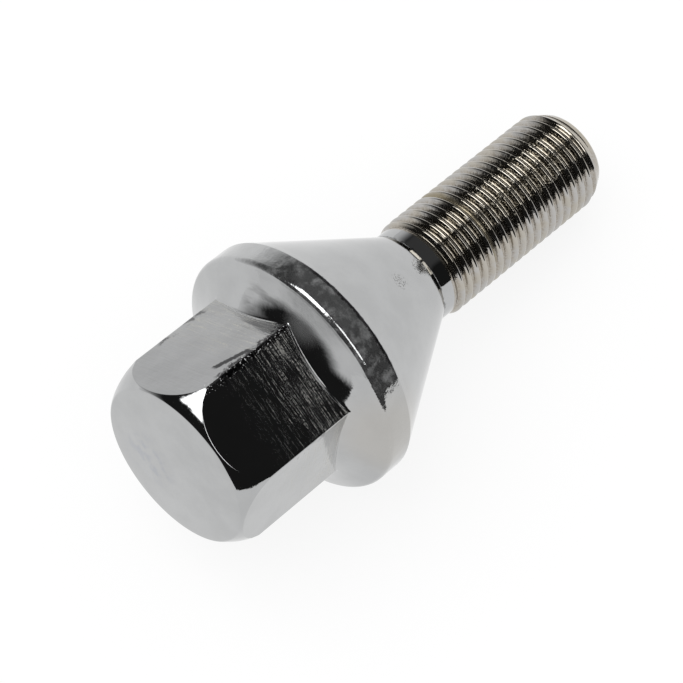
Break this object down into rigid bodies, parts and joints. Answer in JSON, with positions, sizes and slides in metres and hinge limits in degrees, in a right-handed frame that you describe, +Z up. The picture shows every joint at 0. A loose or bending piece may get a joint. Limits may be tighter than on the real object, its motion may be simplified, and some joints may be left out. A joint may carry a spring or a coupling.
{
  "type": "lug bolt",
  "caption": "Chromed steel wheel bolt with a domed hexagon head, a coned flange, a tapered seat and a fine metric thread.",
  "frame": {"origin": "centre of the part's box, on the surface that the bolt lies on", "axes": "+Z up; +X runs from the hexagon head towards the threaded tip, whose axis dips 11.83 degrees below +X because the bolt lies on its flange rim and its tip"},
  "size_m": [0.0628, 0.0286, 0.0286],
  "materials": {
    "chrome": "polished chrome plate on forged steel"
  },
  "bodies": {
    "root": {"lug_bolt": "chrome"}
  },
  "joints": []
}
